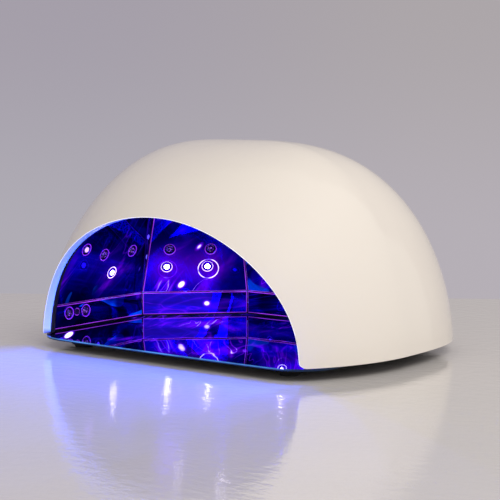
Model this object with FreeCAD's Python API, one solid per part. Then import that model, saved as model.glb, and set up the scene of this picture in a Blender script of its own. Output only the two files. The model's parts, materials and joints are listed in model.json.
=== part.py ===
import FreeCAD, Part
import math
import os

os.makedirs("parts", exist_ok=True)

V = FreeCAD.Vector
UP = V(0, 0, 1)

# ---------------------------------------------------------------- driving sizes (mm)
# Heights are above the table. The lamp is drawn with y = 0 at the mouth's two feet
# and is moved by CENTRE_Y at the end, so the origin is the middle of its footprint.
CENTRE_Y = -76.8

FOOT_H = 5.4            # stepped rubber feet
FOOT_R = 7.5
FOOT_STEP = 1.6
TRAY_T = 1.2            # mirror tray
TRAY_HALF_W = 99.2
TRAY_FRONT_Y = -2.4
TRAY_BOW = 1.7          # the tray's front edge bows forward by this much
TRAY_BACK_Y = 150.0
TRAY_TOP = FOOT_H + TRAY_T

RIM_Z = TRAY_TOP + 0.4  # lower rim of the shell
WALL = 2.6              # shell wall
HEIGHT = 112.0          # shell height above its rim
HALF_W = 114.0          # shell half width at the rim
WIDEST_Y = 66.2         # where the shell is widest
FRONT_REACH = 108.9     # from the widest line to the front of the full dome
BACK_REACH = 96.3       # and to the back
FRONT_POWER = 2.0       # plan outline: ellipse in front
BACK_POWER = 3.28       # fuller, squarer outline behind
SIDE_RISE, SIDE_ROUND = 1.60, 3.34
FRONT_RISE, FRONT_ROUND = 1.77, 1.65
BACK_RISE, BACK_ROUND = 2.12, 1.99

MOUTH_HALF_W = 90.0     # half ellipse of the hand opening
MOUTH_H = 72.2
FOOT_TURN = 3.2
LIP_T = 2.4             # inward lip round the mouth
LIP_DEPTH = 6.0
GASKET_DEPTH = 2.6

CHAMBER_HALF_W = 95.0   # mirror chamber, five walls in plan
CHAMBER_BACK_HALF_W = 48.2
CHAMBER_SIDE_END_Y = 91.0
CHAMBER_BACK_Y = CHAMBER_SIDE_END_Y + CHAMBER_HALF_W - CHAMBER_BACK_HALF_W
BAND_BOTTOM = TRAY_TOP + 1.3
BAND_TOP = TRAY_TOP + 14.6        # low upright bands
PANEL_BOTTOM = TRAY_TOP + 15.2    # tall panels lean inwards above them
ROOF_Z = TRAY_TOP + 74.2
LEAN = 0.32             # inward run per unit of height
SHEET_T = 0.8           # mirror sheet
CORNER_GAP = 0.35       # half the dark gap between two sheets
BOARD_BACK = 2.2        # LED boards stand this far behind the mirror face
BOARD_T = 1.2

FRAME_Z = TRAY_TOP + 0.3
FRAME_TOP = TRAY_TOP + 4.2
SCREW_SINK = 1.7        # depth of the recess for each frame screw's head

CONTROL_Z = TRAY_TOP + 88.2       # underside of the control board
CONTROL_T = 1.6
BUTTON_Y = 96.0
BUTTON_X = (-24.0, -8.0, 8.0, 24.0)
BUTTON_R = 4.6
BUTTON_FLANGE_Z = TRAY_TOP + 97.7
DISPLAY_Y = 82.0
WINDOW_LOW = 104.0      # the window blank runs from here up through the dome
WINDOW_HIGH = 130.0

JACK_X = -34.0
JACK_Z = TRAY_TOP + 20.2


# ---------------------------------------------------------------- helpers
def write(name, shape):
    """Save one piece, moved so the footprint's centre is the origin."""
    moved = shape.copy()
    moved.translate(V(0, CENTRE_Y, 0))
    moved.exportStep("parts/" + name + ".step")


def group(shapes):
    return shapes[0] if len(shapes) == 1 else Part.makeCompound(shapes)


def mirrored(shape):
    return shape.mirror(V(0, 0, 0), V(1, 0, 0))


def cylinder(radius, z_low, z_high, x, y):
    return Part.makeCylinder(radius, z_high - z_low, V(x, y, z_low))


def box(x_low, x_high, y_low, y_high, z_low, z_high):
    return Part.makeBox(x_high - x_low, y_high - y_low, z_high - z_low, V(x_low, y_low, z_low))


def rounded_box(x_low, x_high, y_low, y_high, z_low, z_high, radius):
    block = box(x_low, x_high, y_low, y_high, z_low, z_high)
    upright = [e for e in block.Edges if abs(e.tangentAt(e.FirstParameter).z) > 0.9]
    return block.makeFillet(radius, upright)


def pipe(points, radius):
    """Round wire through points whose heights are above the tray, cut square at both ends."""
    curve = Part.BSplineCurve()
    curve.interpolate([V(x, y, TRAY_TOP + z) for x, y, z in points])
    spine = Part.Wire([curve.toShape()])
    start = curve.value(curve.FirstParameter)
    ring = Part.Wire([Part.Circle(start, curve.tangent(curve.FirstParameter)[0], radius).toShape()])
    return spine.makePipeShell([ring], True, False)


# ---------------------------------------------------------------- dome
def shrink(t, rise, roundness):
    return (1.0 - t ** rise) ** (1.0 / roundness)


def dome_section(t, inset):
    """Closed plan outline at the fraction t of the dome's height."""
    a = (HALF_W - inset) * shrink(t, SIDE_RISE, SIDE_ROUND)
    front = (FRONT_REACH - inset) * shrink(t, FRONT_RISE, FRONT_ROUND)
    back = (BACK_REACH - inset) * shrink(t, BACK_RISE, BACK_ROUND)
    z = RIM_Z + (HEIGHT - inset) * t
    points = []
    count = 64
    for i in range(count):
        angle = 2.0 * math.pi * i / count
        c = math.cos(angle)
        s = math.sin(angle)
        power = FRONT_POWER if s < 0 else BACK_POWER
        reach = front if s < 0 else back
        x = a * math.copysign(abs(c) ** (2.0 / power), c)
        y = WIDEST_Y + reach * math.copysign(abs(s) ** (2.0 / power), s)
        points.append(V(x, y, z))
    curve = Part.BSplineCurve()
    curve.interpolate(Points=points, PeriodicFlag=True)
    return Part.Wire([curve.toShape()])


def dome(inset):
    """Full dome body, before the mouth is cut, moved in by inset on every side."""
    levels = 13
    fractions = [0.999 * math.sin(0.5 * math.pi * i / levels) for i in range(levels + 1)]
    return Part.makeLoft([dome_section(t, inset) for t in fractions], True, False)


def mouth_prism(grow, y_low, y_high):
    """Ellipse of the mouth, grown on every side, run along y."""
    centre = V(0, y_low, RIM_Z)
    ellipse = Part.Ellipse(centre + V(MOUTH_HALF_W + grow, 0, 0), centre + V(0, 0, MOUTH_H + grow), centre)
    face = Part.Face(Part.Wire([ellipse.toShape()]))
    return face.extrude(V(0, y_high - y_low, 0))


outer = dome(0.0)
inner = dome(WALL)
cavity = dome(WALL + 0.4)


def behind_face(depth):
    """The full dome pushed straight back from the lamp's front surface."""
    moved = outer.copy()
    moved.translate(V(0, depth, 0))
    return moved


mouth = mouth_prism(0.0, -60.0, 55.0)
above_rim = box(-150, 150, -80, 200, RIM_Z, 200)
skin = outer.cut(inner).cut(mouth)
lip = mouth_prism(LIP_T, -60.0, 55.0).cut(mouth)
lip = lip.common(outer).cut(behind_face(LIP_DEPTH))
shell = skin.fuse(lip).common(above_rim)

# The mouth's edge turns outwards in a small radius where it meets the rim.
for side in (-1, 1):
    turn_x = side * (MOUTH_HALF_W + FOOT_TURN)
    x_low, x_high = sorted((side * (MOUTH_HALF_W - 1), turn_x))
    turn = box(x_low, x_high, -60, 30, RIM_Z - 1, RIM_Z + FOOT_TURN)
    turn = turn.cut(Part.makeCylinder(FOOT_TURN, 100, V(turn_x, -65, RIM_Z + FOOT_TURN), V(0, 1, 0)))
    shell = shell.cut(turn)

gasket = mouth_prism(4.4, -60.0, 55.0).cut(mouth_prism(0.8, -60.0, 55.0))
gasket = gasket.common(behind_face(LIP_DEPTH + 0.05)).cut(behind_face(LIP_DEPTH + GASKET_DEPTH))
gasket = gasket.common(inner).common(above_rim)

# ---------------------------------------------------------------- chamber walls
WALLS = ("left", "back_left", "back", "back_right", "right")


def chamber_corners(inset, z):
    """The six plan corners of the chamber, moved inwards by inset."""
    side = CHAMBER_HALF_W - inset
    rear = CHAMBER_BACK_HALF_W - 0.4142 * inset
    turn = CHAMBER_SIDE_END_Y - 0.4142 * inset
    back = CHAMBER_BACK_Y - inset
    half = [V(-side, 0, z), V(-side, turn, z), V(-rear, back, z)]
    return half + [V(-p.x, p.y, p.z) for p in reversed(half)]


def wall_frame(index, z_low, z_high, lean):
    """Corner points and the outward normal of one wall's mirror face."""
    low = chamber_corners(0.0, z_low)
    high = chamber_corners(lean * (z_high - z_low), z_high)
    a, b = low[index], low[index + 1]
    d, c = high[index], high[index + 1]
    along = (b - a).normalize()
    normal = (d - a).cross(b - a).normalize()
    if normal.dot((a + b) * 0.5 - V(0, 60, z_low)) < 0:
        normal = normal * -1.0
    return a, b, c, d, along, normal


def slab(index, z_low, z_high, lean, near, far, margin):
    """Flat slab along one wall, from near to far behind the mirror face."""
    a, b, c, d, along, normal = wall_frame(index, z_low, z_high, lean)
    shift = normal * near
    corners = [a + along * margin, b - along * margin, c - along * margin, d + along * margin]
    wire = Part.makePolygon([p + shift for p in corners + [corners[0]]])
    return Part.Face(wire).extrude(normal * (far - near))


def on_wall(index, z_low, z_high, lean, share, height):
    """Point on the mirror face: share of the wall's length at z_low, height above z_low."""
    a, b, c, d, along, normal = wall_frame(index, z_low, z_high, lean)
    low = a + (b - a) * share
    rise = (c + d) * 0.5 - (a + b) * 0.5
    return low + rise * (height / (z_high - z_low)), normal


def ring(point, normal, r_in, r_out, near, far):
    outer_tube = Part.makeCylinder(r_out, far - near, point + normal * near, normal)
    return outer_tube.cut(Part.makeCylinder(r_in, far - near + 2, point + normal * (near - 1), normal))


def led_cup(point, normal):
    """Polished bezel: a tapered flange on the mirror face and a tube through it."""
    cone = Part.makeCone(3.5, 4.2, 0.6, point - normal * 0.6, normal)
    tube = Part.makeCylinder(3.3, BOARD_BACK, point, normal)
    bore = Part.makeCylinder(2.7, BOARD_BACK + 2, point - normal, normal)
    return cone.fuse(tube).cut(bore)


def led_dome(point, normal):
    """Clear LED lens on its board."""
    base = Part.makeCylinder(2.3, 1.4, point + normal * (BOARD_BACK - 1.4), normal)
    cap = Part.makeSphere(2.3, point + normal * (BOARD_BACK - 1.4), normal * -1.0, 0, 90, 360)
    return base.fuse(cap)


# Share of the wall's length and height above the wall's lower edge, for every LED.
SIDE_LEDS = ((0.645, 15.7), (0.54, 27.5), (0.81, 28.0), (0.36, 32.0))
CORNER_LEDS = ((0.225, 16.2), (0.61, 16.2), (0.25, 27.4), (0.635, 27.4))
BACK_LEDS = ((0.32, 16.2), (0.68, 16.2), (0.18, 27.8), (0.50, 27.8), (0.82, 27.8))
BAND_LEDS = (0.282, 0.437)
SENSOR_SHARE = 0.359
BAND_LED_H = 8.3
ROOF_LEDS = ((-42.0, 62.0), (0.0, 50.0), (42.0, 62.0), (-26.0, 98.0), (26.0, 98.0))


def led_list(index):
    """LEDs of one wall, mirrored for the walls on the right."""
    if index == 2:
        return BACK_LEDS
    leds = SIDE_LEDS if index in (0, 4) else CORNER_LEDS
    if index > 2:
        return tuple((1.0 - share, height) for share, height in leds)
    return leds


panels = {}
bands = {}
boards = {}
cups = {}
lenses = {}
for index, wall in enumerate(WALLS):
    panel = slab(index, PANEL_BOTTOM, ROOF_Z, LEAN, 0.0, SHEET_T, CORNER_GAP)
    band = slab(index, BAND_BOTTOM, BAND_TOP, 0.0, 0.0, SHEET_T, CORNER_GAP)
    board = slab(index, PANEL_BOTTOM, ROOF_Z, LEAN, BOARD_BACK, BOARD_BACK + BOARD_T, 7.0)
    board = board.common(box(-150, 150, 22, 200, PANEL_BOTTOM + 2, ROOF_Z - 14))
    if index == 2:
        board = board.common(box(-36, 36, 0, 200, 0, 200))
    cups[wall] = []
    lenses[wall] = []
    for share, height in led_list(index):
        point, normal = on_wall(index, PANEL_BOTTOM, ROOF_Z, LEAN, share, height)
        panel = panel.cut(Part.makeCylinder(3.4, 6, point - normal * 3, normal))
        cups[wall].append(led_cup(point, normal))
        lenses[wall].append(led_dome(point, normal))
    if index in (0, 4):
        for share in BAND_LEDS:
            place = share if index == 0 else 1.0 - share
            point, normal = on_wall(index, BAND_BOTTOM, BAND_TOP, 0.0, place, BAND_LED_H)
            band = band.cut(Part.makeCylinder(3.4, 6, point - normal * 3, normal))
            cups[wall].append(led_cup(point, normal))
            lenses[wall].append(led_dome(point, normal))
        place = SENSOR_SHARE if index == 0 else 1.0 - SENSOR_SHARE
        point, normal = on_wall(index, BAND_BOTTOM, BAND_TOP, 0.0, place, BAND_LED_H)
        band = band.cut(Part.makeCylinder(1.9, 6, point - normal * 3, normal))
        eye = Part.makeCylinder(1.8, BOARD_BACK + 0.3, point - normal * 0.3, normal)
        write("hand_sensor_" + wall, eye)
    panels[wall] = panel.common(cavity)
    bands[wall] = band.common(cavity)
    boards[wall] = board.common(cavity)
    write("mirror_panel_" + wall, panels[wall])
    write("mirror_band_" + wall, bands[wall])
    write("led_board_" + wall, boards[wall])
    write("led_cups_" + wall, group(cups[wall]))
    write("led_lenses_" + wall, group(lenses[wall]))

# Small boards behind the side bands, for the low LEDs and the hand sensor.
sensor_boards = []
for side in (-1, 1):
    front_x = side * (CHAMBER_HALF_W + BOARD_BACK)
    x_low, x_high = sorted((front_x, front_x + side * BOARD_T))
    sensor_board = box(x_low, x_high, 18, 52, BAND_BOTTOM + 0.5, BAND_TOP)
    sensor_boards.append(sensor_board.common(cavity))
write("sensor_boards", group(sensor_boards))

# Roof mirror, with its LED board lying on spacers above it.
roof_inset = LEAN * (ROOF_Z - PANEL_BOTTOM) + 0.6
roof_corners = chamber_corners(roof_inset, ROOF_Z)
roof_corners = [V(p.x, p.y if p.y > 1 else -20, p.z) for p in roof_corners]
roof = Part.Face(Part.makePolygon(roof_corners + [roof_corners[0]])).extrude(UP * SHEET_T)
roof = roof.common(cavity).cut(mouth_prism(5.0, -60, 30))
roof_cups = []
roof_lenses = []
for x, y in ROOF_LEDS:
    point = V(x, y, ROOF_Z)
    roof = roof.cut(Part.makeCylinder(3.4, 6, point - UP * 3, UP))
    roof_cups.append(led_cup(point, UP))
    roof_lenses.append(led_dome(point, UP))
roof_board = rounded_box(-56, 56, 40, 108, ROOF_Z + BOARD_BACK, ROOF_Z + BOARD_BACK + BOARD_T, 6.0)
write("mirror_roof", roof)
write("led_board_roof", roof_board)
write("led_cups_roof", group(roof_cups))
write("led_lenses_roof", group(roof_lenses))

# ---------------------------------------------------------------- bottom frame and magnets
def chamber_prism(grow, z_low, z_high):
    corners = chamber_corners(-grow, z_low)
    corners = [V(p.x, p.y if p.y > 1 else -40, p.z) for p in corners]
    return Part.Face(Part.makePolygon(corners + [corners[0]])).extrude(UP * (z_high - z_low))


def plan_slab(z_low, z_high):
    """Slab with the cavity's outline at the rim."""
    curve = dome_section(0.0, WALL + 0.4)
    curve.translate(V(0, 0, z_low - RIM_Z))
    return Part.Face(curve).extrude(UP * (z_high - z_low))


frame = plan_slab(FRAME_Z, BAND_BOTTOM).cut(chamber_prism(0.0, FRAME_Z - 1, BAND_BOTTOM + 1))
rib = plan_slab(BAND_BOTTOM, FRAME_TOP).cut(chamber_prism(BOARD_BACK + BOARD_T + 0.3, 0, 20))
rib = rib.common(cavity).common(box(-150, 150, 52, 200, 0, 20))
frame = frame.fuse(rib)

SCREW_SPOTS = ((-90.0, 127.0), (90.0, 127.0), (-44.5, 155.5), (44.5, 155.5))
MAGNET_SPOTS = ((-75.0, 141.5), (75.0, 141.5), (-99.0, 113.5), (99.0, 113.5), (0.0, 156.0))
screws = []
bosses = []
for x, y in SCREW_SPOTS:
    frame = frame.cut(cylinder(1.7, 0, 20, x, y)).cut(cylinder(3.1, 0, FRAME_Z + SCREW_SINK, x, y))
    boss = cylinder(3.6, FRAME_TOP + 0.1, ROOF_Z, x, y).common(inner)
    boss = boss.cut(cylinder(1.35, FRAME_TOP - 1, FRAME_TOP + 11, x, y))
    bosses.append(boss)
    head = cylinder(2.9, FRAME_Z + 0.1, FRAME_Z + SCREW_SINK, x, y).cut(cylinder(1.1, 0, FRAME_Z + 0.9, x, y))
    screws.append(head.fuse(cylinder(1.3, FRAME_Z + SCREW_SINK, FRAME_TOP + 9, x, y)))
for boss in bosses:
    shell = shell.fuse(boss.common(outer))
magnets = []
for x, y in MAGNET_SPOTS:
    frame = frame.cut(cylinder(3.0, FRAME_Z + 0.5, 20, x, y))
    magnets.append(cylinder(2.95, FRAME_Z + 0.5, FRAME_Z + 3.0, x, y))
write("bottom_frame", frame)
write("frame_screws", group(screws))
write("tray_magnets", group(magnets))
write("mouth_gasket", gasket)

# ---------------------------------------------------------------- tray and feet
edge = [V(-TRAY_HALF_W, TRAY_FRONT_Y, FOOT_H), V(0, TRAY_FRONT_Y - TRAY_BOW, FOOT_H),
        V(TRAY_HALF_W, TRAY_FRONT_Y, FOOT_H)]
back_right = V(TRAY_HALF_W, TRAY_BACK_Y, FOOT_H)
back_left = V(-TRAY_HALF_W, TRAY_BACK_Y, FOOT_H)
tray_wire = Part.Wire([Part.Arc(*edge).toShape(), Part.makeLine(edge[2], back_right),
                       Part.makeLine(back_right, back_left), Part.makeLine(back_left, edge[0])])
tray = Part.Face(tray_wire).extrude(UP * TRAY_T)
for y_side, radius in ((-1, 25.0), (1, 50.0)):
    corner_edges = []
    for e in tray.Edges:
        middle = e.valueAt(0.5 * (e.FirstParameter + e.LastParameter))
        upright = abs(e.Vertexes[0].Z - e.Vertexes[-1].Z) > 0.5 * TRAY_T
        if upright and (middle.y - 70) * y_side > 0:
            corner_edges.append(e)
    tray = tray.makeFillet(radius, corner_edges)
write("mirror_tray", tray)

FEET = ((-73.0, 15.5), (73.0, 15.5), (-68.0, 130.0), (68.0, 130.0))
feet = []
for x, y in FEET:
    pad = cylinder(FOOT_R, FOOT_STEP + 0.8, FOOT_H, x, y)
    pad = pad.fuse(Part.makeCone(FOOT_R - 1.2, FOOT_R, 0.8, V(x, y, FOOT_STEP)))
    heel = Part.makeCone(FOOT_R - 2.5, FOOT_R - 2.0, FOOT_STEP, V(x, y, 0))
    dimple = Part.makeSphere(4.0, V(x, y, -3.3))
    feet.append(pad.fuse(heel).cut(dimple))
write("rubber_feet", group(feet))

# ---------------------------------------------------------------- control board on the top
control = rounded_box(-46.0, 46.0, 60.0, 114.0, CONTROL_Z, CONTROL_Z + CONTROL_T, 4.0)
post_spots = ((-41.0, 65.0), (41.0, 65.0), (-41.0, 109.0), (41.0, 109.0))
board_screws = []
for x, y in post_spots:
    control = control.cut(cylinder(1.6, CONTROL_Z - 1, CONTROL_Z + 3, x, y))
    post = cylinder(3.0, CONTROL_Z + CONTROL_T, CONTROL_Z + 20, x, y).common(inner)
    post = post.cut(cylinder(1.15, CONTROL_Z, CONTROL_Z + CONTROL_T + 5.5, x, y))
    shell = shell.fuse(post)
    screw = cylinder(2.4, CONTROL_Z - 1.5, CONTROL_Z, x, y)
    board_screws.append(screw.fuse(cylinder(1.1, CONTROL_Z, CONTROL_Z + CONTROL_T + 4.5, x, y)))
write("control_board", control)
write("board_screws", group(board_screws))

top = CONTROL_Z + CONTROL_T
write("microcontroller", box(10, 20, 76, 86, CONTROL_Z - 1.4, CONTROL_Z))
capacitors = [Part.makeCylinder(r, h, V(x, 102, CONTROL_Z), V(0, 0, -1))
              for x, r, h in ((-22, 4.0, 9.0), (-10, 4.0, 9.0), (2, 3.0, 7.0))]
write("capacitors", group(capacitors))
connectors = [box(x - 5, x + 5, 62.5, 68.0, CONTROL_Z - 5.0, CONTROL_Z) for x in (-24.0, 0.0, 24.0)]
write("board_connectors", group(connectors))

# Buttons: cap with stem above a tact switch, whose plunger moves with it.
switches = []
for number, x in enumerate(BUTTON_X, 1):
    opening = cylinder(BUTTON_R + 0.3, BUTTON_FLANGE_Z, 130, x, BUTTON_Y)
    shell = shell.cut(opening)
    raised = outer.copy()
    raised.translate(V(0, 0, 0.45))
    cap = cylinder(BUTTON_R, BUTTON_FLANGE_Z, 125, x, BUTTON_Y).common(raised)
    flange = cylinder(BUTTON_R + 1.0, BUTTON_FLANGE_Z, BUTTON_FLANGE_Z + 1.0, x, BUTTON_Y)
    stem = cylinder(2.0, top + 2.2, BUTTON_FLANGE_Z, x, BUTTON_Y)
    write("timer_button_%d" % number, cap.fuse(flange).fuse(stem))
    write("switch_plunger_%d" % number, cylinder(1.2, top + 1.0, top + 2.2, x, BUTTON_Y))
    housing = box(x - 3, x + 3, BUTTON_Y - 3, BUTTON_Y + 3, top, top + 1.4)
    switches.append(housing.cut(cylinder(1.26, top + 0.2, top + 3, x, BUTTON_Y)))
write("tact_switches", group(switches))

# Time display under a tinted window that lies flush in the dome.
window_hole = rounded_box(-14.0, 14.0, DISPLAY_Y - 5.0, DISPLAY_Y + 5.0, WINDOW_LOW, WINDOW_HIGH, 2.0)
window = rounded_box(-13.85, 13.85, DISPLAY_Y - 4.85, DISPLAY_Y + 4.85, WINDOW_LOW, WINDOW_HIGH, 1.85)
write("display_window", window.common(outer).cut(inner))
shell = shell.cut(window_hole)
write("display_module", box(-12.5, 12.5, DISPLAY_Y - 4.6, DISPLAY_Y + 4.6, top, CONTROL_Z + 16))

# ---------------------------------------------------------------- power inlet at the back
jack_hole = Part.makeCylinder(5.2, 40, V(JACK_X, 140, JACK_Z), V(0, 1, 0))
back_face_y = WIDEST_Y + BACK_REACH
shell = shell.cut(jack_hole.common(box(-150, 150, 154, 200, 0, 200)))
barrel = Part.makeCylinder(5.1, 4.0, V(JACK_X, back_face_y - 5.6, JACK_Z), V(0, 1, 0))
barrel = barrel.common(outer)
body = box(JACK_X - 5.5, JACK_X + 5.5, back_face_y - 9.6, back_face_y - 5.6, JACK_Z - 5.5, JACK_Z + 5.5)
socket = Part.makeCylinder(2.9, 20, V(JACK_X, back_face_y - 8.4, JACK_Z), V(0, 1, 0))
contact = Part.makeCylinder(1.0, 6.0, V(JACK_X, back_face_y - 8.4, JACK_Z), V(0, 1, 0))
write("power_inlet", barrel.fuse(body).cut(socket))
write("inlet_pin", contact)

write("outer_shell", shell)

# ---------------------------------------------------------------- wiring
power_run = ((JACK_X, 154.0, 25.95), (JACK_X, 154.0, 28.5), (JACK_X, 146.0, 46.2), (JACK_X, 131.0, 72.2),
             (-30.0, 108.0, 81.5), (-25.0, 84.0, 82.0), (-24.0, 74.0, 84.6), (-24.0, 68.8, 85.2))
side_run = ((-27.0, 61.9, 85.6), (-27.0, 58.5, 85.4), (-38.0, 54.0, 83.2), (-56.0, 61.0, 81.8),
            (-72.0, 70.0, 80.6), (-83.0, 72.0, 75.2), (-87.8, 72.0, 66.2), (-87.4, 72.0, 56.2))
write("power_wire", pipe(power_run, 1.4))
side_wire = pipe(side_run, 1.1)
write("led_wires", group([side_wire, mirrored(side_wire)]))
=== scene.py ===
import json
import math

import bmesh
import bpy
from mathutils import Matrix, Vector

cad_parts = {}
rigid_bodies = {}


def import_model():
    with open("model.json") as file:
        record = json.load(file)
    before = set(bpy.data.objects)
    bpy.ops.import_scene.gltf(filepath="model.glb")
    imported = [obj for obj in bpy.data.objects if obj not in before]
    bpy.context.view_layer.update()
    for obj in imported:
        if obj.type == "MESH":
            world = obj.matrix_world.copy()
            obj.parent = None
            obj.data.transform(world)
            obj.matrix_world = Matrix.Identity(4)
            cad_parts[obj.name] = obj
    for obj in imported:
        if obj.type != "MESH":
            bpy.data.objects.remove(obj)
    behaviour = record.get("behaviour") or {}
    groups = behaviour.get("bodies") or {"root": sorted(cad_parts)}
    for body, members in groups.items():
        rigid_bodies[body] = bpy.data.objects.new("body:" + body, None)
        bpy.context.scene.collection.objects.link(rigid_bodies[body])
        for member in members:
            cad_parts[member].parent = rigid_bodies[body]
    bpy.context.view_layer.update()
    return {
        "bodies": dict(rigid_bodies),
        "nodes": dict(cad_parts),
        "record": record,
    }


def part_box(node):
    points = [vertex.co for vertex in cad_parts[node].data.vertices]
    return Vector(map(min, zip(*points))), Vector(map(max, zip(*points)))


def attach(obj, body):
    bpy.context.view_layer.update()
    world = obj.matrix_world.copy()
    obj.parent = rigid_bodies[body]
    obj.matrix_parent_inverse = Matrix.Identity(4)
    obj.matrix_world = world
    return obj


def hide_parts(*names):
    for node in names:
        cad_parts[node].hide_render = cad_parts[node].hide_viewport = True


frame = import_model()
TRAY_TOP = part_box("mirror_tray")[1].z

NODES = frame["nodes"]
MM = 0.001
WALLS = ("left", "back_left", "back", "back_right", "right")

# ---------------------------------------------------------------- palette (linear colour)
IVORY = (0.86, 0.795, 0.715)
IVORY_WARM = (0.875, 0.812, 0.735)
# The mirrors are silver: this blue-violet is painted light, standing for the LEDs' light on them.
MIRROR_PAINTED_BLUE = (0.022, 0.006, 0.50)
# Colours of painted light, down to TRAY_EDGE_BLUE: the foils' own glow and the glow on the sheets' cut
# edges.
FOIL_BLUE = (0.0, 0.001, 1.0)             # the foil's faint glow
FOIL_VIOLET = (0.15, 0.001, 1.0)
FOIL_HOT = (0.80, 0.60, 1.0)
FOIL_CLEAR_BLUE = (0.0, 0.085, 1.0)
EDGE_VIOLET = (0.40, 0.045, 1.0)
TRAY_EDGE_BLUE = (0.10, 0.36, 1.0)
LED_VIOLET = (0.12, 0.01, 1.0)
LED_WHITE = (0.86, 0.78, 1.0)
TABLE_WHITE = (0.66, 0.632, 0.615)
PAPER_LEFT = ((0.432, 0.414, 0.462), (0.376, 0.346, 0.400))      # backdrop, low and high
PAPER_RIGHT = ((0.465, 0.431, 0.470), (0.414, 0.382, 0.398))
ROOM_WHITE = (0.86, 0.835, 0.815)

# Painted light on the foils: pools around the burning LEDs, and thin rings.
POOL_REACH = 40.0 * MM                    # light round a burning LED fades out over this
HOOP_WIDTH = 0.55 * MM


# ---------------------------------------------------------------- node helpers
RANGE_SOCKETS = ("From Min", "From Max", "To Min", "To Max")


def axes_along(direction):
    """Three perpendicular unit vectors, the first along direction."""
    along = direction.normalized()
    across = along.orthogonal().normalized()
    return along, across, along.cross(across)


class Paint:
    """A node material under construction, with one Principled shader."""

    def __init__(self, name, base, roughness, metallic=0.0):
        self.material = bpy.data.materials.new(name)
        self.material.use_nodes = True
        self.tree = self.material.node_tree
        self.tree.nodes.clear()
        self.out = self.add("ShaderNodeOutputMaterial")
        self.shader = self.add("ShaderNodeBsdfPrincipled")
        self.link(self.shader.outputs[0], self.out.inputs["Surface"])
        self.set("Base Color", (*base, 1.0))
        self.set("Roughness", roughness)
        self.set("Metallic", metallic)
        self.place = self.add("ShaderNodeTexCoord").outputs["Object"]
        self.height = None

    def add(self, kind, **settings):
        node = self.tree.nodes.new(kind)
        for key, value in settings.items():
            setattr(node, key, value)
        return node

    def link(self, a, b):
        self.tree.links.new(a, b)

    def set(self, socket, value):
        self.shader.inputs[socket].default_value = value

    def stretched(self, scale):
        """Object coordinates multiplied by three factors."""
        node = self.add("ShaderNodeMapping")
        node.inputs["Scale"].default_value = scale
        self.link(self.place, node.inputs["Vector"])
        return node.outputs[0]

    def drawn_out(self, along, ratio):
        """Object coordinates squeezed along one direction, so that a pattern on them is drawn out."""
        node = self.add("ShaderNodeCombineXYZ")
        for socket, axis, factor in zip(node.inputs, axes_along(along), (ratio, 1.0, 1.0)):
            dot = self.add("ShaderNodeVectorMath", operation="DOT_PRODUCT")
            dot.inputs[1].default_value = axis * factor
            self.link(self.place, dot.inputs[0])
            self.link(dot.outputs["Value"], socket)
        return node.outputs[0]

    def noise(self, scale, detail=3.0, rough=0.5, distortion=0.0, vector=None):
        node = self.add("ShaderNodeTexNoise")
        node.inputs["Scale"].default_value = scale
        node.inputs["Detail"].default_value = detail
        node.inputs["Roughness"].default_value = rough
        node.inputs["Distortion"].default_value = distortion
        self.link(vector or self.place, node.inputs["Vector"])
        return node.outputs["Fac"]

    def span(self, value, low, high, to_low=0.0, to_high=1.0, smooth=True):
        """A value's range low to high carried over to another range, and held outside it."""
        node = self.add("ShaderNodeMapRange")
        node.interpolation_type = "SMOOTHSTEP" if smooth else "LINEAR"
        for socket, number in zip(RANGE_SOCKETS, (low, high, to_low, to_high)):
            node.inputs[socket].default_value = number
        self.link(value, node.inputs["Value"])
        return node.outputs["Result"]

    def feed(self, socket, value):
        """Gives a socket a number or links it to another socket."""
        if isinstance(value, (int, float)):
            socket.default_value = value
        else:
            self.link(value, socket)

    def math(self, operation, *values):
        node = self.add("ShaderNodeMath", operation=operation)
        for socket, value in zip(node.inputs, values):
            self.feed(socket, value)
        return node.outputs[0]

    def chain(self, operation, first, *others):
        for other in others:
            first = self.math(operation, first, other)
        return first

    def total(self, *values):
        return self.chain("ADD", *values)

    def times(self, *values):
        return self.chain("MULTIPLY", *values)

    def mix(self, factor, a, b):
        """Blend of two colours or colour sockets."""
        node = self.add("ShaderNodeMix", data_type="RGBA")
        self.link(factor, node.inputs[0])
        for socket, value in ((node.inputs[6], a), (node.inputs[7], b)):
            if isinstance(value, tuple):
                socket.default_value = (*value, 1.0)
            else:
                self.link(value, socket)
        return node.outputs[2]

    def colour(self, socket):
        self.link(socket, self.shader.inputs["Base Color"])

    def roughness(self, socket):
        self.link(socket, self.shader.inputs["Roughness"])

    def bump(self, height, strength, distance):
        """Relief on top of any relief given before."""
        node = self.add("ShaderNodeBump")
        node.inputs["Strength"].default_value = strength
        node.inputs["Distance"].default_value = distance
        self.link(height, node.inputs["Height"])
        if self.height:
            self.link(self.height, node.inputs["Normal"])
        self.height = node.outputs[0]
        self.link(self.height, self.shader.inputs["Normal"])

    def glow(self, colour, strength):
        """Emission: colour is a tuple or socket, strength a number or socket."""
        if isinstance(colour, tuple):
            self.set("Emission Color", (*colour, 1.0))
        else:
            self.link(colour, self.shader.inputs["Emission Color"])
        self.feed(self.shader.inputs["Emission Strength"], strength)

    def distance(self, point, along=None, ratio=1.0):
        """Distance to a point, counted ratio times as long in the direction along."""
        gap = self.add("ShaderNodeVectorMath", operation="DISTANCE")
        if along is None:
            gap.inputs[1].default_value = point
            self.link(self.place, gap.inputs[0])
        else:
            first, second, third = axes_along(along)
            gap.inputs[1].default_value = (point.dot(first) * ratio, point.dot(second), point.dot(third))
            self.link(self.drawn_out(along, ratio), gap.inputs[0])
        return gap.outputs["Value"]

    def near(self, point, reach):
        """1 at a point, falling smoothly to 0 at reach."""
        return self.span(self.distance(point), 0.0, reach, 1.0, 0.0)


def shaded(base, change):
    """A colour made darker or lighter."""
    return tuple(min(1.0, max(0.0, c * change)) for c in base)


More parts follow.
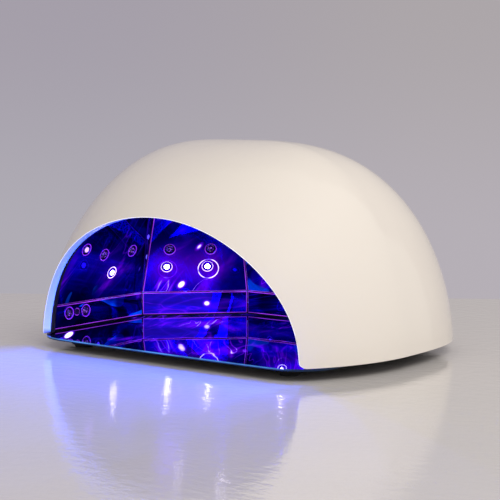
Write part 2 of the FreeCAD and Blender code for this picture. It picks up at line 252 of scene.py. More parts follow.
# ---------------------------------------------------------------- materials
def plastic(name, base, roughness, grain, coat=0.0):
    """Moulded plastic: faint mottling, fine spark-eroded grain, uneven sheen."""
    paint = Paint(name, base, roughness)
    cloud = paint.noise(38.0, 4.0)
    paint.colour(paint.mix(cloud, shaded(base, 0.96), shaded(base, 1.04)))
    smear = paint.noise(110.0, 5.0, 0.6)
    paint.roughness(paint.span(smear, 0.3, 0.7, roughness * 0.85, min(1.0, roughness * 1.2)))
    paint.bump(paint.noise(2600.0, 2.0), grain, 0.00008)
    if coat:
        paint.set("Coat Weight", coat)
        paint.set("Coat Roughness", 0.06)
    return paint.material


def lacquer(paint):
    """Clear glossy coat."""
    paint.set("Coat Weight", 0.9)
    paint.set("Coat Roughness", 0.035)
    paint.set("Coat IOR", 1.5)


def ivory_shell():
    """Glossy lacquered ivory plastic with a faint orange peel."""
    paint = Paint("shell_ivory_lacquer", IVORY, 0.34)
    cloud = paint.noise(9.0, 5.0, 0.55)
    warm = paint.mix(cloud, shaded(IVORY, 0.985), IVORY_WARM)
    speck = paint.span(paint.noise(420.0, 2.0), 0.735, 0.80)
    paint.colour(paint.mix(paint.math("MULTIPLY", speck, 0.10), warm, (0.62, 0.55, 0.47)))
    paint.roughness(paint.span(paint.noise(60.0, 4.0), 0.3, 0.7, 0.30, 0.40))
    paint.bump(paint.noise(190.0, 2.0), 0.10, 0.00006)
    paint.bump(paint.noise(2400.0, 2.0), 0.04, 0.00004)
    lacquer(paint)
    return paint.material


def painted_light_edge():
    """The mouth's rounded edge, with a painted highlight: emission stands for the chamber's light caught
    by the lacquer.
    """
    paint = Paint("shell_edge_painted_light", IVORY, 0.3)
    cloud = paint.noise(45.0, 3.0)
    paint.colour(paint.mix(cloud, shaded(IVORY, 0.97), IVORY_WARM))
    paint.roughness(paint.span(cloud, 0.3, 0.7, 0.26, 0.36))
    paint.bump(paint.noise(2400.0, 2.0), 0.04, 0.00004)
    paint.glow((0.72, 0.78, 1.0), paint.span(cloud, 0.3, 0.7, 0.35, 0.65))
    lacquer(paint)
    return paint.material


def light_lines(paint, along, scale, ratio, width, distortion):
    """Long curved lines of painted light, drawn out in a direction, fading over width to each side."""
    field = paint.noise(scale, 2.0, 0.5, distortion, paint.drawn_out(along, ratio))
    gap = paint.math("ABSOLUTE", paint.math("SUBTRACT", field, 0.5))
    return paint.math("POWER", paint.span(gap, 0.0, width, 1.0, 0.0, smooth=False), 2.0)


def smeared_light(paint, along, veil, streak):
    """Painted light: the veil and two sizes of lines, kept to patchy regions of the sheet."""
    region = paint.span(paint.noise(17.0, 2.0, 0.5, 0.6), 0.43, 0.62)
    broad_lines = light_lines(paint, along, 30.0, 0.25, 0.045, 1.1)
    fine_lines = light_lines(paint, along, 64.0, 0.18, 0.020, 0.8)
    parts = ((veil, 0.75), (broad_lines, 0.55), (fine_lines, 0.75))
    light = paint.total(*(paint.times(part, strength) for part, strength in parts))
    return paint.times(light, region, streak)


def mirror_sheet(name, painted_blue, along, base, streak, pool_light, patches=0.0, glows=(), hoops=(), glints=()):
    """Mirror foil with slight waves, coloured violet-blue as painted light for the LEDs' light on it,
    which also glows by itself with painted light.

    The smears, pools, hoops and glints are painted light, emission on the sheet; the hoops and glints are
    painted reflections of the LEDs. They stay where they are on it from any side and at any pose; only the
    mirror's own reflections follow the view.
    along is the direction in which the painted light is drawn out, base the even painted blue glow, and
    streak, haze and patches the strengths of the painted smears, of the painted pools and of the painted
    blue patches.
    glows are the points of painted light pools, hoops (point, radius, strength), glints (point, direction,
    stretch, reach, strength).
    """
    paint = Paint(name, painted_blue, 0.04, 1.0)
    cloud = paint.noise(18.0, 3.0, 0.5, 0.7)
    # The painted LED blue, darker and lighter at random across the sheet.
    paint.colour(paint.mix(paint.span(cloud, 0.35, 0.65), shaded(painted_blue, 0.40), shaded(painted_blue, 1.25)))

    veil_light_field = paint.noise(36.0, 4.0, 0.55, 1.5, paint.drawn_out(along, 0.34))
    veil = paint.math("POWER", paint.span(veil_light_field, 0.42, 0.78), 1.7)
    light = smeared_light(paint, along, veil, streak)
    for point in glows:
        pool = paint.math("POWER", paint.near(point, POOL_REACH), 3.2)
        light = paint.total(light, paint.times(pool, paint.total(paint.times(veil, 1.5), 0.30), pool_light))
    for point, radius, strength in hoops:
        gap = paint.math("ABSOLUTE", paint.math("SUBTRACT", paint.distance(point), radius))
        line = paint.span(gap, 0.0, HOOP_WIDTH, 1.0, 0.0)
        unevenness = paint.span(paint.noise(150.0, 1.0), 0.30, 0.55, 0.35, 1.0)
        light = paint.total(light, paint.times(line, strength, unevenness))
    for point, direction, stretch, reach, strength in glints:
        spot = paint.span(paint.distance(point, direction, 1.0 / stretch), 0.0, reach, 1.0, 0.0)
        light = paint.total(light, paint.times(paint.math("POWER", spot, 2.0), strength))

    tone = paint.mix(paint.span(light, 0.0, 0.42), FOIL_BLUE, FOIL_VIOLET)
    tone = paint.mix(paint.span(light, 0.75, 1.6), tone, FOIL_HOT)
    strength = paint.total(light, paint.span(cloud, 0.36, 0.62, 0.0, base * 1.7))
    if patches:
        field = paint.noise(44.0, 1.0, 0.5, 1.3, paint.drawn_out(along, 0.36))
        fill = paint.span(paint.noise(48.0, 2.0), 0.36, 0.56, 0.15, 1.0)
        patch = paint.times(paint.span(field, 0.605, 0.625), fill)
        strength = paint.math("MAXIMUM", strength, paint.times(patch, patches))
        tone = paint.mix(patch, tone, FOIL_CLEAR_BLUE)
    scratches = paint.noise(900.0, 2.0, 0.5, 0.0, paint.stretched((1.0, 0.05, 1.0)))
    paint.roughness(paint.span(scratches, 0.35, 0.75, 0.004, 0.03))
    paint.bump(paint.noise(26.0, 2.0, 0.4), 0.30, 0.00040)
    paint.bump(paint.noise(140.0, 2.0, 0.4), 0.05, 0.00008)
    paint.glow(tone, strength)
    return paint.material


def glowing_edge(name, colour, strength, fade=()):
    """Cut edge of a mirror sheet, polished, with a painted glow that stands for light from the chamber.

    fade lists (axis number, where the painted glow starts to dim into painted shade, where it is dark), in
    metres.
    """
    paint = Paint(name, shaded(colour, 0.08), 0.2, 0.6)
    flicker = paint.noise(40.0, 3.0, 0.6)
    paint.roughness(paint.span(flicker, 0.3, 0.7, 0.15, 0.35))
    level = paint.span(flicker, 0.35, 0.68, strength * 0.35, strength)
    if fade:
        axes = paint.add("ShaderNodeSeparateXYZ")
        paint.link(paint.place, axes.inputs[0])
        for axis, start, end in fade:
            level = paint.math("MULTIPLY", level, paint.span(axes.outputs[axis], start, end, 1.0, 0.0))
    paint.glow(colour, level)
    return paint.material


def chrome(name, base, roughness=0.08):
    """Bright plated metal with turned marks."""
    paint = Paint(name, base, roughness, 1.0)
    paint.colour(paint.mix(paint.noise(150.0, 3.0), shaded(base, 0.8), shaded(base, 1.15)))
    paint.roughness(paint.span(paint.noise(700.0, 2.0), 0.3, 0.7, roughness * 0.6, roughness * 1.6))
    paint.bump(paint.noise(1500.0, 2.0), 0.05, 0.00005)
    return paint.material


def dark_lens():
    """Clear lens over an LED of the other wavelength, which is off.

    It has painted light: small violet dots of glow that stand for glints, and a painted glow towards the
    rim as seen.
    """
    paint = Paint("led_lens_off", (0.035, 0.025, 0.12), 0.05)
    facing = paint.add("ShaderNodeLayerWeight")
    facing.inputs["Blend"].default_value = 0.4
    paint.colour(paint.mix(paint.noise(900.0, 3.0), (0.004, 0.002, 0.02), (0.05, 0.02, 0.16)))
    paint.roughness(paint.span(paint.noise(500.0, 2.0), 0.3, 0.7, 0.03, 0.12))
    painted_glint_dots = paint.span(paint.noise(1250.0, 1.0, 0.5), 0.58, 0.66)
    # Painted glow towards the rim as seen.
    rim = paint.span(facing.outputs["Facing"], 0.4, 0.95, 0.0, 0.25)
    paint.glow(paint.mix(painted_glint_dots, (0.16, 0.01, 0.9), (0.40, 0.12, 1.0)), paint.math("ADD", rim, painted_glint_dots))
    paint.set("Coat Weight", 1.0)
    paint.set("Coat Roughness", 0.01)
    return paint.material


def rubber(name, base):
    """Matt rubber, unevenly dull."""
    paint = Paint(name, base, 0.78)
    paint.colour(paint.mix(paint.noise(300.0, 4.0), shaded(base, 0.7), shaded(base, 1.5)))
    paint.roughness(paint.span(paint.noise(90.0, 4.0), 0.3, 0.7, 0.66, 0.9))
    paint.bump(paint.noise(1700.0, 3.0), 0.25, 0.0001)
    return paint.material


def circuit(name):
    """Solder mask with fine copper tracks showing through."""
    paint = Paint(name, (0.02, 0.11, 0.05), 0.35)
    grid = paint.add("ShaderNodeTexBrick")
    grid.inputs["Scale"].default_value = 150.0
    grid.inputs["Mortar Size"].default_value = 0.045
    paint.link(paint.place, grid.inputs["Vector"])
    cloud = paint.mix(paint.noise(70.0, 3.0), (0.012, 0.075, 0.035), (0.03, 0.15, 0.07))
    paint.colour(paint.mix(grid.outputs["Fac"], cloud, (0.05, 0.24, 0.10)))
    paint.bump(grid.outputs["Fac"], 0.3, 0.0001)
    paint.set("Coat Weight", 0.6)
    return paint.material


def table_top():
    """White laminate: glossy, with a long faint grain and fine ripples that draw reflections out."""
    paint = Paint("table_laminate", TABLE_WHITE, 0.10)
    grain = paint.noise(26.0, 4.0, 0.5, 0.0, paint.stretched((0.25, 1.0, 1.0)))
    paint.colour(paint.mix(grain, shaded(TABLE_WHITE, 0.975), shaded(TABLE_WHITE, 1.02)))
    paint.roughness(paint.span(grain, 0.3, 0.7, 0.022, 0.05))
    ripples = paint.noise(210.0, 3.0, 0.6, 0.0, paint.stretched((0.6, 1.0, 1.0)))
    paint.bump(ripples, 0.42, 0.0004)
    orange_peel = paint.noise(520.0, 2.0, 0.5)
    paint.bump(orange_peel, 0.10, 0.00012)
    return paint.material


# ---------------------------------------------------------------- mesh helpers
CREASE_ANGLE = 35.0       # edges sharper than this stay crisp
SHARP_ANGLE = 40.0        # and those sharper than this are rounded
WELD_GAP = 0.004 * MM


def new_object(name, mesh):
    obj = bpy.data.objects.new(name, mesh)
    bpy.context.scene.collection.objects.link(obj)
    return obj


def finish_mesh(name, bm, materials, smooth=True):
    mesh = bpy.data.meshes.new(name)
    bm.to_mesh(mesh)
    bm.free()
    for polygon in mesh.polygons:
        polygon.use_smooth = smooth
    if smooth:
        mesh.set_sharp_from_angle(angle=math.radians(CREASE_ANGLE))
    for material in materials:
        mesh.materials.append(material)
    return new_object(name, mesh)


def welded_copy(node):
    """The CAD node's mesh with its seams closed."""
    bm = bmesh.new()
    bm.from_mesh(NODES[node].data)
    bmesh.ops.remove_doubles(bm, verts=bm.verts, dist=WELD_GAP)
    return bm


def sharp_edges(bm, angle):
    """Edges between two faces that turn by more than angle degrees."""
    limit = math.radians(angle)
    return [edge for edge in bm.edges if len(edge.link_faces) == 2 and edge.calc_face_angle(0.0) > limit]


def bevelled(node, name, materials, width, segments=2, edge_slot=-1, smooth=True):
    """Replaces a CAD node by the same solid with its sharp edges rounded.

    edge_slot is the material of the rounding, or -1 for that of the faces beside it.
    """
    bm = welded_copy(node)
    bmesh.ops.bevel(bm, geom=sharp_edges(bm, SHARP_ANGLE), offset=width, segments=segments, profile=0.6,
                    affect="EDGES", clamp_overlap=True, material=edge_slot)
    obj = finish_mesh(name, bm, materials, smooth)
    modifier = obj.modifiers.new("normals", "WEIGHTED_NORMAL")
    modifier.keep_sharp = True
    stand_in(obj, node)
    return obj


def stand_in(obj, node):
    """obj is shown instead of the CAD node and rides on its body."""
    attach(obj, body_of(node))
    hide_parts(node)


def body_of(node):
    return next(body for body, members in BODIES.items() if node in members)


def paint_node(node, *materials):
    slots = NODES[node].data.materials
    slots.clear()
    for material in materials:
        slots.append(material)


def loose_centres(node):
    """Middle of every separate piece in a CAD node, in metres."""
    bm = welded_copy(node)
    bm.verts.ensure_lookup_table()
    seen = set()
    centres = []
    for start in bm.verts:
        if start.index in seen:
            continue
        queue = [start]
        seen.add(start.index)
        members = []
        while queue:
            vert = queue.pop()
            members.append(vert.co.copy())
            for edge in vert.link_edges:
                other = edge.other_vert(vert)
                if other.index not in seen:
                    seen.add(other.index)
                    queue.append(other)
        low = Vector(min(p[i] for p in members) for i in range(3))
        high = Vector(max(p[i] for p in members) for i in range(3))
        centres.append((low + high) / 2)
    bm.free()
    return centres


BODIES = frame["record"]["behaviour"]["bodies"]


def lathe(bm, profile, origin, axis, material_rows, steps=40):
    """Turned solid from a profile of (radius, height along axis) in mm.

    The profile is a closed outline, or one that starts and ends on the axis.
    """
    turn = axis.to_track_quat("Z", "Y")
    rows = []
    for radius, height in profile:
        count = 1 if radius == 0 else steps
        row = []
        for i in range(count):
            angle = 2.0 * math.pi * i / steps
            local = Vector((radius * math.cos(angle), radius * math.sin(angle), height)) * MM
            row.append(bm.verts.new(origin + turn @ local))
        rows.append(row)
    if profile[0][0] > 0:
        rows.append(rows[0])
    for index, (low, high) in enumerate(zip(rows, rows[1:])):
        for i in range(steps):
            j = (i + 1) % steps
            if len(high) == 1:
                corners = (low[i], low[j], high[0])
            elif len(low) == 1:
                corners = (low[0], high[j], high[i])
            else:
                corners = (low[i], low[j], high[j], high[i])
            face = bm.faces.new(corners)
            face.material_index = material_rows[index]


# ---------------------------------------------------------------- LEDs
OFF, LIT, FAINT = range(3)
BAND_TOP = TRAY_TOP + 14.6 * MM           # LEDs under this height are in the low bands, and off
LIT_LOW_ROW = TRAY_TOP + 36.0 * MM        # wall LEDs under this height burn
FAINT_SIDE_TOP = TRAY_TOP + 46.0 * MM     # and the top one of each side wall glimmers
CHAMBER_MIDDLE = Vector((0.0, -20.0, 40.0)) * MM
LENS_DROP = 0.3 * MM                      # a CAD lens' middle is this far behind the mirror's face


def mirror_normal(sheet):
    """The unit normal of a mirror sheet's face, towards the chamber."""
    mesh = NODES[sheet].data
    normal = max(mesh.polygons, key=lambda face: face.area).normal.copy()
    middle = sum((Vector(vert.co) for vert in mesh.vertices), Vector()) / len(mesh.vertices)
    return normal if normal.dot(CHAMBER_MIDDLE - middle) > 0 else -normal


def led_places(wall):
    """(centre on the mirror face, inward normal, state) for each LED of a wall."""
    places = []
    for centre in loose_centres("led_lenses_" + wall):
        if wall == "roof":
            normal = Vector((0, 0, -1))
            state = LIT if centre.y < 0 else OFF
        elif centre.z < BAND_TOP:
            normal = mirror_normal("mirror_band_" + wall)
            state = OFF
        else:
            normal = mirror_normal("mirror_panel_" + wall)
            state = LIT if centre.z < LIT_LOW_ROW else OFF
            if wall in ("left", "right") and centre.z > FAINT_SIDE_TOP:
                state = FAINT
        places.append((centre + normal * LENS_DROP, normal, state))
    return places


LEDS = {wall: led_places(wall) for wall in WALLS + ("roof",)}

# Profiles as (radius, height over the mirror's face) in mm, and the material row of each stretch:
# a cup's rows are metal, bezel and inside, a lens's rows are base, collar and core.
CUP_PROFILE = ((3.30, -2.2), (3.30, -0.05), (4.12, -0.03), (4.20, 0.12), (4.08, 0.40), (3.80, 0.57),
               (3.55, 0.60), (3.30, 0.50), (3.08, 0.22), (2.98, -0.10), (2.78, -0.45), (2.70, -1.0),
               (2.70, -2.2))
CUP_ROWS = (0, 0, 0, 0, 0, 1, 1, 0, 0, 2, 2, 2, 0)
LENS_PROFILE = ((0.0, -2.2), (2.30, -2.2), (2.30, -0.62), (2.22, -0.50), (2.05, -0.48), (1.98, -0.30),
                (1.86, 0.30), (1.62, 0.78), (1.25, 1.14), (0.82, 1.34), (0.40, 1.43), (0.0, 1.46))
LENS_ROWS = (0, 0, 1, 1, 0, 0, 0, 2, 2, 2, 2)


def burning(name, colour, strength):
    """Light leaving part of a lens, uneven as a real LED's is; on a bezel or inside a cup the same glow is
    painted light.
    """
    paint = Paint(name, shaded(colour, 0.5), 0.1)
    cell = paint.noise(1300.0, 2.0)
    paint.glow(colour, paint.span(cell, 0.3, 0.7, strength * 0.85, strength * 1.1))
    paint.roughness(paint.span(cell, 0.3, 0.7, 0.05, 0.15))
    paint.set("Coat Weight", 1.0)
    return paint.material


cup_metal = chrome("led_cup_chrome", (0.12, 0.05, 0.60))
cup_inside = plastic("led_cup_inside", (0.008, 0.004, 0.05), 0.35, 0.1)
# The bezels' glow is painted: a painted highlight around the lit LEDs, painted violet light around the
# others.
lit_bezel = burning("led_bezel_lit_painted_highlight", (0.74, 0.52, 1.0), 2.6)
off_bezel = burning("led_bezel_off_painted_glow", (0.30, 0.03, 1.0), 0.95)
lens_core = burning("led_core", LED_WHITE, 16.0)
lens_rim = burning("led_lens_rim", (0.07, 0.0, 0.8), 0.5)
lens_collar = burning("led_collar", LED_VIOLET, 0.6)
lens_off = dark_lens()
lens_off_collar = chrome("led_collar_off", (0.20, 0.12, 0.66), 0.12)
faint_core = burning("led_core_faint", (0.55, 0.32, 1.0), 2.2)


# Three materials for each state: off, lit, faint. A lit cup's inside wears the lens rim's glow, painted
# light there.
CUP_MATERIALS = (cup_metal, off_bezel, cup_inside,
                 cup_metal, lit_bezel, lens_rim,
                 cup_metal, off_bezel, cup_inside)
LENS_MATERIALS = (lens_off, lens_off_collar, lens_off,
                  lens_rim, lens_collar, lens_core,
                  lens_off, lens_rim, faint_core)


def build_led_parts(node, places, profile, rows, materials):
    """Cups or lenses of one wall in place of their CAD node."""
    bm = bmesh.new()
    for centre, normal, state in places:
        lathe(bm, profile, centre, normal, [row + 3 * state for row in rows])
    bmesh.ops.recalc_face_normals(bm, faces=bm.faces)
    stand_in(finish_mesh(node + "_detail", bm, materials), node)


for wall, places in LEDS.items():
    build_led_parts("led_cups_" + wall, places, CUP_PROFILE, CUP_ROWS, CUP_MATERIALS)
    build_led_parts("led_lenses_" + wall, places, LENS_PROFILE, LENS_ROWS, LENS_MATERIALS)


# ---------------------------------------------------------------- mirror chamber
# The cut edges of the chamber's sheets carry a painted violet glow.
sheet_edge = glowing_edge("mirror_sheet_edge_painted_glow", EDGE_VIOLET, 1.5)
# Each wall's foil: painted even blue glow, painted shade of its blue (lower is darker), the way its
# painted light is drawn out, and the strengths of its painted streaks, pools and blue patches.
FOILS = {
    "left": (0.005, 0.42, Vector((0.1, 0.5, 1.0)), 0.32, 0.6, 0.22),
    "back_left": (0.09, 1.00, Vector((0.55, 0.55, 0.95)), 1.6, 1.25, 0.0),
    "back": (0.07, 0.9, Vector((0.5, 0.0, 1.0)), 0.8, 0.9, 0.4),
    "back_right": (0.07, 0.9, Vector((-0.5, 0.5, 1.0)), 0.8, 0.9, 0.0),
    "right": (0.04, 0.8, Vector((0.1, -0.5, 1.0)), 0.6, 0.7, 0.5),
    "roof": (0.05, 0.8, Vector((0.4, 1.0, 0.0)), 0.6, 0.8, 0.0),
}
UPWARDS = Vector((0.0, 0.0, 1.0))
SHEET_BEVEL = 0.32 * MM
HOOP_DROP = Vector((0.4, 0.4, -1.7)) * MM      # the bright rings hang a little under their LEDs
GLINT_DROP = 12.0 * MM
GLINT_RISE = 14.0 * MM
BAND_GLINT_Z = TRAY_TOP + 7.5 * MM


def up_slope(facing):
    """Unit vector up a leaning sheet whose normal is facing."""
    return (UPWARDS - facing * facing.z).normalized()


def inner_and_outer(pair):
    return sorted(pair, key=lambda point: -abs(point.x))


def marks_of_pair(pair, facing, along):
    """The painted hoops and glints on a wall with two burning LEDs."""
    inner, outer = inner_and_outer(pair)
    low = inner.lerp(outer, 0.375) - up_slope(facing) * GLINT_DROP
    high = inner.lerp(outer, 0.80) + up_slope(facing) * GLINT_RISE
    hoops = [(inner + HOOP_DROP, 5.8 * MM, 0.5), (outer + HOOP_DROP, 6.4 * MM, 1.7)]
    glints = [(low, along, 1.6, 3.6 * MM, 4.0), (high, along, 2.4, 2.6 * MM, 2.2)]
    return hoops, glints


def glint_of_band(pair, facing, band):
    """A painted glint on the upright band, in line with a pair's outer LED."""
    outer = inner_and_outer(pair)[1]
    level = Vector((facing.x, facing.y, 0.0)).normalized()
    lean = math.tan(up_slope(facing).angle(UPWARDS))
    under = outer - level * (outer.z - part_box(band)[1].z) * lean
    under.z = BAND_GLINT_Z
    return under, UPWARDS, 0.8, 4.2 * MM, 3.2


def mirror_stand_in(node, foil):
    bevelled(node, node + "_sheet", (foil, sheet_edge), SHEET_BEVEL, 1, edge_slot=1, smooth=False)


for wall, places in LEDS.items():
    base, painted_shade, along, streak, pool_light, patches = FOILS[wall]
    # The wall's painted LED blue, darkened on some walls as painted shade.
    painted_blue = shaded(MIRROR_PAINTED_BLUE, painted_shade)
    facing = places[0][1]
    burning_here = [centre for centre, normal, state in places if state == LIT]
    hoops, glints = (), ()
    if len(burning_here) == 2:
        hoops, glints = marks_of_pair(burning_here, facing, along)
    foil = mirror_sheet("mirror_foil_" + wall, painted_blue, along, base, streak, pool_light, patches,
                        burning_here, hoops, glints)
    mirror_stand_in("mirror_roof" if wall == "roof" else "mirror_panel_" + wall, foil)
    if wall == "roof":
        continue
    band = "mirror_band_" + wall
    band_glints = [glint_of_band(burning_here, facing, band)] if len(burning_here) == 2 else ()
    lengthwise = Vector((along.x, along.y, 0.12))
    low_foil = mirror_sheet("band_foil_" + wall, painted_blue, lengthwise, base * 0.15, 0.45, 0.0, 0.9,
                            glints=band_glints)
    mirror_stand_in(band, low_foil)

# The tray: its top is foil, its underside plain, and its front edge has a painted glow, faded to dark as
# painted shade where the shell or the corner hides it.
TRAY_EDGE_FADE = ((0, 70.0 * MM, 88.0 * MM), (1, -66.0 * MM, -50.0 * MM),
                  (2, TRAY_TOP - 0.55 * MM, TRAY_TOP - 0.75 * MM))
EDGE_SLOT, UNDER_SLOT = 1, 2
OUTWARDS = Vector((0.6, -0.8, 0.0))             # the way in which the tray's painted glint is drawn out
tray_edge_painted_glow = glowing_edge("tray_edge_painted_glow", TRAY_EDGE_BLUE, 0.85, TRAY_EDGE_FADE)
tray_under = plastic("tray_underside", (0.010, 0.010, 0.012), 0.5, 0.2)
# Painted light pools on the tray in front of the lit LEDs, and a painted glint standing for a reflection
# at its front left corner.
tray_glows = [Vector((centre.x * 0.8, centre.y * 0.55 - 20.0 * MM, TRAY_TOP))
              for wall in ("back_left", "back") for centre, normal, state in LEDS[wall] if state == LIT]
tray_glints = [(Vector((-80.0 * MM, -66.5 * MM, TRAY_TOP)), OUTWARDS, 6.0, 3.6 * MM, 6.0)]
tray_foil = mirror_sheet("tray_mirror_foil", MIRROR_PAINTED_BLUE, Vector((0.5, -0.9, 0.0)), 0.02, 0.9, 0.4,
                         glows=tray_glows, glints=tray_glints)
tray = bevelled("mirror_tray", "mirror_tray_sheet", (tray_foil, tray_edge_painted_glow, tray_under), 0.35 * MM, 2,
                edge_slot=EDGE_SLOT, smooth=False)
for polygon in tray.data.polygons:
    if polygon.normal.z < -0.5:
        polygon.material_index = UNDER_SLOT
    elif polygon.normal.z < 0.5:
        polygon.material_index = EDGE_SLOT

# ---------------------------------------------------------------- shell and its trim
RIM_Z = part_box("outer_shell")[0].z
MOUTH_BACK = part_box("mouth_gasket")[1].y
ARCH_ANGLE = 38.0
ARCH_BEVEL = 0.55 * MM


def on_mouth(edge):
    """True for the arch where the dome's skin meets the inward lip."""
    middle = (edge.verts[0].co + edge.verts[1].co) / 2
    if middle.y > MOUTH_BACK or middle.z < RIM_Z + 0.5 * MM:
        return False
    return min(face.normal.y for face in edge.link_faces) < -0.12


shell_bm = welded_copy("outer_shell")
arch = [edge for edge in sharp_edges(shell_bm, ARCH_ANGLE) if on_mouth(edge)]
bmesh.ops.bevel(shell_bm, geom=arch, offset=ARCH_BEVEL, segments=3, profile=0.5, affect="EDGES",
                clamp_overlap=False, material=1)
shell = finish_mesh("outer_shell_lacquered", shell_bm, (ivory_shell(), painted_light_edge()))
shell.modifiers.new("normals", "WEIGHTED_NORMAL").keep_sharp = True
stand_in(shell, "outer_shell")

paint_node("mouth_gasket", rubber("gasket_rubber", (0.012, 0.012, 0.016)))
foot_rubber = rubber("foot_rubber_black", (0.014, 0.014, 0.016))
bevelled("rubber_feet", "rubber_feet_soft", (foot_rubber,), 0.25 * MM)
frame_plastic = plastic("frame_black_plastic", (0.004, 0.004, 0.005), 0.55, 0.2)
bevelled("bottom_frame", "bottom_frame_edged", (frame_plastic,), 0.2 * MM)


# ---------------------------------------------------------------- the other nodes
def smoked_window():
    """Clear dark plastic over the display, evenly polished."""
    paint = Paint("window_smoked", (0.20, 0.20, 0.23), 0.03)
    paint.roughness(paint.span(paint.noise(300.0), 0.3, 0.7, 0.02, 0.06))
    paint.set("Transmission Weight", 0.85)
    paint.set("IOR", 1.49)
    return paint.material


board = circuit("board_green")
steel = chrome("screw_zinc", (0.62, 0.62, 0.66), 0.22)
cable = plastic("cable_black", (0.015, 0.015, 0.017), 0.46, 0.2)
black_gloss = plastic("black_gloss", (0.012, 0.012, 0.014), 0.22, 0.05, 0.6)
black_matt = plastic("black_matt", (0.02, 0.02, 0.022), 0.5, 0.25)
white_nylon = plastic("white_nylon", (0.72, 0.70, 0.66), 0.5, 0.2)
button_paint = plastic("button_soft_grey", (0.60, 0.575, 0.545), 0.48, 0.18)

for node in ("sensor_boards", "control_board", "led_board_roof", *("led_board_" + wall for wall in WALLS)):
    paint_node(node, board)
for node in ("frame_screws", "board_screws"):
    paint_node(node, steel)
for node in ("led_wires", "power_wire"):
    paint_node(node, cable)
for node in ("microcontroller", "tact_switches"):
    paint_node(node, black_matt)
paint_node("board_connectors", white_nylon)
paint_node("capacitors", chrome("capacitor_sleeve", (0.10, 0.12, 0.30), 0.3))
paint_node("inlet_pin", chrome("inlet_brass", (0.78, 0.60, 0.32), 0.15))
paint_node("tray_magnets", chrome("magnet_nickel", (0.56, 0.56, 0.60), 0.18))
paint_node("display_window", smoked_window())
paint_node("display_module", black_gloss)
for node in ("hand_sensor_left", "hand_sensor_right"):
    bevelled(node, node + "_eye", (black_gloss,), 0.25 * MM)
bevelled("power_inlet", "power_inlet_edged", (black_matt,), 0.25 * MM)
for number in range(1, 5):
    paint_node("switch_plunger_%d" % number, white_nylon)
    button = "timer_button_%d" % number
    bevelled(button, button + "_cap", (button_paint,), 0.45 * MM, 3)

# ---------------------------------------------------------------- table
EDGE_ANGLE = math.radians(32.5)                     # heading of the table's far edge
EDGE_POINT = Vector((-133.3, 170.6, 0.0)) * MM      # a point on that edge
HALF_LENGTH = 2.0                                   # metres
TABLE_WIDTH = 3.2
TABLE_THICK = 18.0 * MM
along_edge = Vector((math.cos(EDGE_ANGLE), math.sin(EDGE_ANGLE), 0.0))
towards_camera = Vector((math.sin(EDGE_ANGLE), -math.cos(EDGE_ANGLE), 0.0))
table_bm = bmesh.new()
corners = [EDGE_POINT + along_edge * side * HALF_LENGTH + towards_camera * reach
           for side, reach in ((-1, 0.0), (1, 0.0), (1, TABLE_WIDTH), (-1, TABLE_WIDTH))]
top = [table_bm.verts.new(p) for p in corners]
bottom = [table_bm.verts.new(p - Vector((0, 0, TABLE_THICK))) for p in corners]
table_bm.faces.new(top)
table_bm.faces.new(bottom[::-1])
for i in range(4):
    j = (i + 1) % 4
    table_bm.faces.new((top[i], bottom[i], bottom[j], top[j]))
bmesh.ops.recalc_face_normals(table_bm, faces=table_bm.faces)
bmesh.ops.bevel(table_bm, geom=list(table_bm.edges), offset=2.0 * MM, segments=3, affect="EDGES")
table = finish_mesh("table", table_bm, (table_top(),))
table.modifiers.new("normals", "WEIGHTED_NORMAL")

# ---------------------------------------------------------------- world
world = bpy.data.worlds.new("studio")
bpy.context.scene.world = world
world.use_nodes = True
sky = world.node_tree
sky.nodes.clear()


def sky_node(kind, **settings):
    node = sky.nodes.new(kind)
    for key, value in settings.items():
        setattr(node, key, value)
    return node


def heading(azimuth, elevation):
    """Unit vector towards a direction; azimuth 0 is -Y and 90 is +X."""
    a, e = math.radians(azimuth), math.radians(elevation)
    return Vector((math.sin(a) * math.cos(e), -math.cos(a) * math.cos(e), math.sin(e)))


def sky_side(normal, low, high):
    """0 to 1 in a smooth step across a great circle whose pole is normal."""
    dot = sky_node("ShaderNodeVectorMath", operation="DOT_PRODUCT")
    dot.inputs[1].default_value = normal
    sky.links.new(ray, dot.inputs[0])
    step = sky_node("ShaderNodeMapRange", interpolation_type="SMOOTHSTEP")
    for socket, number in zip(RANGE_SOCKETS, (low, high, 0.0, 1.0)):
        step.inputs[socket].default_value = number
    sky.links.new(dot.outputs["Value"], step.inputs["Value"])
    return step.outputs["Result"]


def sky_times(a, b):
    node = sky_node("ShaderNodeMath", operation="MULTIPLY")
    sky.links.new(a, node.inputs[0])
    sky.links.new(b, node.inputs[1])
    return node.outputs[0]


def sky_mix(factor, a, b):
    node = sky_node("ShaderNodeMix", data_type="RGBA")
    sky.links.new(factor, node.inputs[0])
    for socket, value in ((node.inputs[6], a), (node.inputs[7], b)):
        if isinstance(value, tuple):
            socket.default_value = (*value, 1.0)
        else:
            sky.links.new(value, socket)
    return node.outputs[2]


# A paper backdrop hangs behind the lamp, wide and high, with a straight right edge and a slanting top;
# the rest is the pale room, brighter towards the window side.
PAPER_AZIMUTH = -143.0
PAPER_RIGHT_EDGE = 155.0
PAPER_TOP_LEFT = heading(-105, 41)
PAPER_TOP_RIGHT = heading(169, 71)
BRIGHT_SIDE = heading(85, 22)

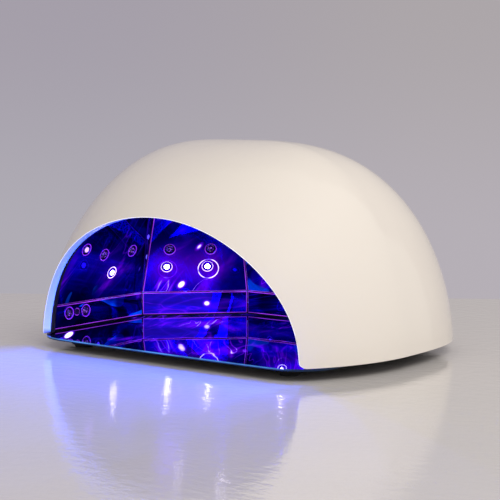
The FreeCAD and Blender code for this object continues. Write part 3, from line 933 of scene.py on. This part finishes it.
ray = sky_node("ShaderNodeTexCoord").outputs["Generated"]
right_edge = heading(PAPER_RIGHT_EDGE + 90, 0)
top_edge = PAPER_TOP_LEFT.cross(PAPER_TOP_RIGHT).normalized()
if top_edge.dot(heading(PAPER_AZIMUTH, 10)) < 0:
    top_edge = -top_edge
paper = sky_times(sky_side(right_edge, -0.012, 0.012), sky_side(top_edge, -0.015, 0.015))
paper = sky_times(paper, sky_side(heading(PAPER_AZIMUTH, 0), -0.15, 0.0))
room = sky_mix(sky_side(BRIGHT_SIDE, -0.75, 0.85), shaded(ROOM_WHITE, 0.45), ROOM_WHITE)
rising = sky_side(UPWARDS, -0.11, 0.07)
to_the_right = sky_side(heading(PAPER_AZIMUTH - 90, 0), -0.14, 0.14)
backdrop = sky_mix(to_the_right, sky_mix(rising, *PAPER_LEFT), sky_mix(rising, *PAPER_RIGHT))
shade = sky_node("ShaderNodeBackground")
sky.links.new(sky_mix(paper, room, backdrop), shade.inputs["Color"])
sky_out = sky_node("ShaderNodeOutputWorld")
sky.links.new(shade.outputs[0], sky_out.inputs["Surface"])


# ---------------------------------------------------------------- lights
KEY_DIRECTION = heading(72, 50)
KEY_DISTANCE = 1.6
KEY_SIZE = (1.1, 0.8)
KEY_POWER = 8.8
KEY_COLOUR = (1.0, 0.97, 0.93)
AIM = Vector((0.0, 0.0, 50.0)) * MM
BEAM_POWER = 0.58
BEAM_COLOUR = (0.03, 0.10, 1.0)
BEAM_RADIUS = 1.2 * MM
BEAM_CLEARANCE = 3.2 * MM                # of the light's middle from the mirror's face

key_data = bpy.data.lights.new("key_softbox", "AREA")
key_data.shape = "RECTANGLE"
key_data.size, key_data.size_y = KEY_SIZE
key_data.energy = KEY_POWER
key_data.color = KEY_COLOUR
key = bpy.data.objects.new("key_softbox", key_data)
bpy.context.scene.collection.objects.link(key)
key.location = AIM + KEY_DIRECTION * KEY_DISTANCE
key.rotation_mode = "QUATERNION"
key.rotation_quaternion = KEY_DIRECTION.to_track_quat("Z", "Y")
key.visible_glossy = False

# Each burning LED throws its own light out of the chamber, and moves with the lamp's head.
# Light linking lets it fall on the shell and the table only: the chamber has its own painted glow.
lit_things = bpy.data.collections.new("lit_by_leds")
for thing in (table, shell):
    lit_things.objects.link(thing)
for wall, places in LEDS.items():
    for number, (centre, normal, state) in enumerate(places):
        if state != LIT:
            continue
        data = bpy.data.lights.new("led_beam", "POINT")
        data.energy = BEAM_POWER
        data.color = BEAM_COLOUR
        data.shadow_soft_size = BEAM_RADIUS
        beam = bpy.data.objects.new("led_beam_%s_%d" % (wall, number), data)
        bpy.context.scene.collection.objects.link(beam)
        beam.location = centre + normal * BEAM_CLEARANCE
        beam.visible_glossy = False
        beam.light_linking.receiver_collection = lit_things
        beam.parent = frame["bodies"]["lamp_head"]

# ---------------------------------------------------------------- camera
VIEW = heading(37.4, 5.76)
TARGET = Vector((17.9, -22.8, 51.6)) * MM + Vector((0, 0, TRAY_TOP))
DISTANCE = 0.810                         # metres
camera_data = bpy.data.cameras.new("camera")
camera_data.lens = 105.0
camera_data.sensor_width = 36.0
camera_data.clip_start = 0.01
camera = bpy.data.objects.new("camera", camera_data)
bpy.context.scene.collection.objects.link(camera)
camera.location = TARGET + VIEW * DISTANCE
camera.rotation_mode = "QUATERNION"
camera.rotation_quaternion = VIEW.to_track_quat("Z", "Y")
bpy.context.scene.camera = camera
bpy.context.scene.view_settings.view_transform = "Standard"
